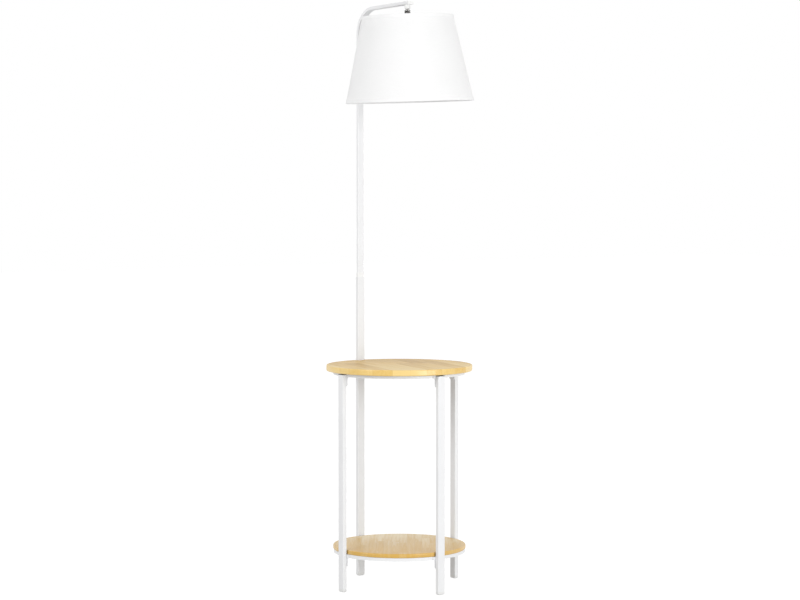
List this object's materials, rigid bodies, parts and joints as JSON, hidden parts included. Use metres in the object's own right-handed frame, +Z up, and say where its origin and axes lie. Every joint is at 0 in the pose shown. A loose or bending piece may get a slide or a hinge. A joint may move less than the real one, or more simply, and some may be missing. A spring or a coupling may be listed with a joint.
{
  "type": "floor lamp with table",
  "caption": "Floor lamp whose pole rises from a round wooden table with a lower shelf, with a bent arm and a tapered fabric shade on a tilting swivel.",
  "frame": {"origin": "on the floor under the middle of the round boards; the overall box is centred within 8 mm of it", "axes": "+Z up, +X from the pole towards the arm's tip, +Y completes a right-handed frame"},
  "size_m": [0.4117, 0.4, 1.598],
  "materials": {
    "white_paint": "white powder coat, satin",
    "white_plastic": "white moulded plastic, satin",
    "foot_plastic": "white moulded plastic, satin",
    "dark_plastic": "dark grey moulded plastic, matte",
    "table_wood": "light wood strips under clear gloss lacquer",
    "shelf_wood": "light finger-jointed strips under clear gloss lacquer",
    "zinc": "bright zinc plate",
    "dark_chrome": "dark polished nickel",
    "nickel": "bright nickel plate",
    "rubber_grey": "soft pale grey rubber",
    "shade_fabric": "white lined fabric",
    "shade_trim": "white folded fabric tape",
    "opal_glass": "opal white glass"
  },
  "bodies": {
    "frame": {"front_left_leg": "white_paint", "front_right_leg": "white_paint", "back_right_leg": "white_paint", "pole_leg": "white_paint", "upper_pole": "white_paint", "upper_ring_frame": "white_paint", "lower_ring_frame": "white_paint", "table_top": "table_wood", "lower_shelf": "shelf_wood", "foot_caps": "foot_plastic", "leg_top_plugs": "dark_plastic", "upper_leg_bolts": "zinc", "lower_leg_bolts": "zinc", "upper_leg_inserts": "zinc", "lower_leg_inserts": "zinc", "table_top_screws": "zinc", "lower_shelf_screws": "zinc", "pole_joint_collar": "white_plastic", "pole_lock_bolt": "zinc", "pole_lock_insert": "zinc", "cord_grommet": "rubber_grey", "arm_end_cap": "white_plastic", "arm_collar": "white_plastic", "swivel_lock_nut": "zinc", "swivel_upper_knuckle": "dark_chrome", "swivel_washer": "zinc"},
    "shade_head": {"swivel_lower_knuckle": "dark_chrome", "swivel_pin": "nickel", "swivel_pin_nut": "nickel", "lampholder_cap": "white_plastic", "lampholder_body": "white_plastic", "lampholder_insert": "white_plastic", "centre_contact": "nickel", "shade_ring_upper": "white_plastic", "shade_ring_lower": "white_plastic", "shade_fitter": "white_paint", "shade_bottom_wire": "white_paint", "shade_skin": "shade_fabric", "shade_top_trim": "shade_trim", "shade_bottom_trim": "shade_trim", "bulb_base": "nickel", "bulb_glass": "opal_glass"}
  },
  "joints": [
    {"name": "shade_tilt", "type": "hinge", "parent": "frame", "child": "shade_head", "pos_m": [0.038, 0, 1.56273], "axis": [1, 0, 0], "range_deg": [-32, 28]}
  ]
}
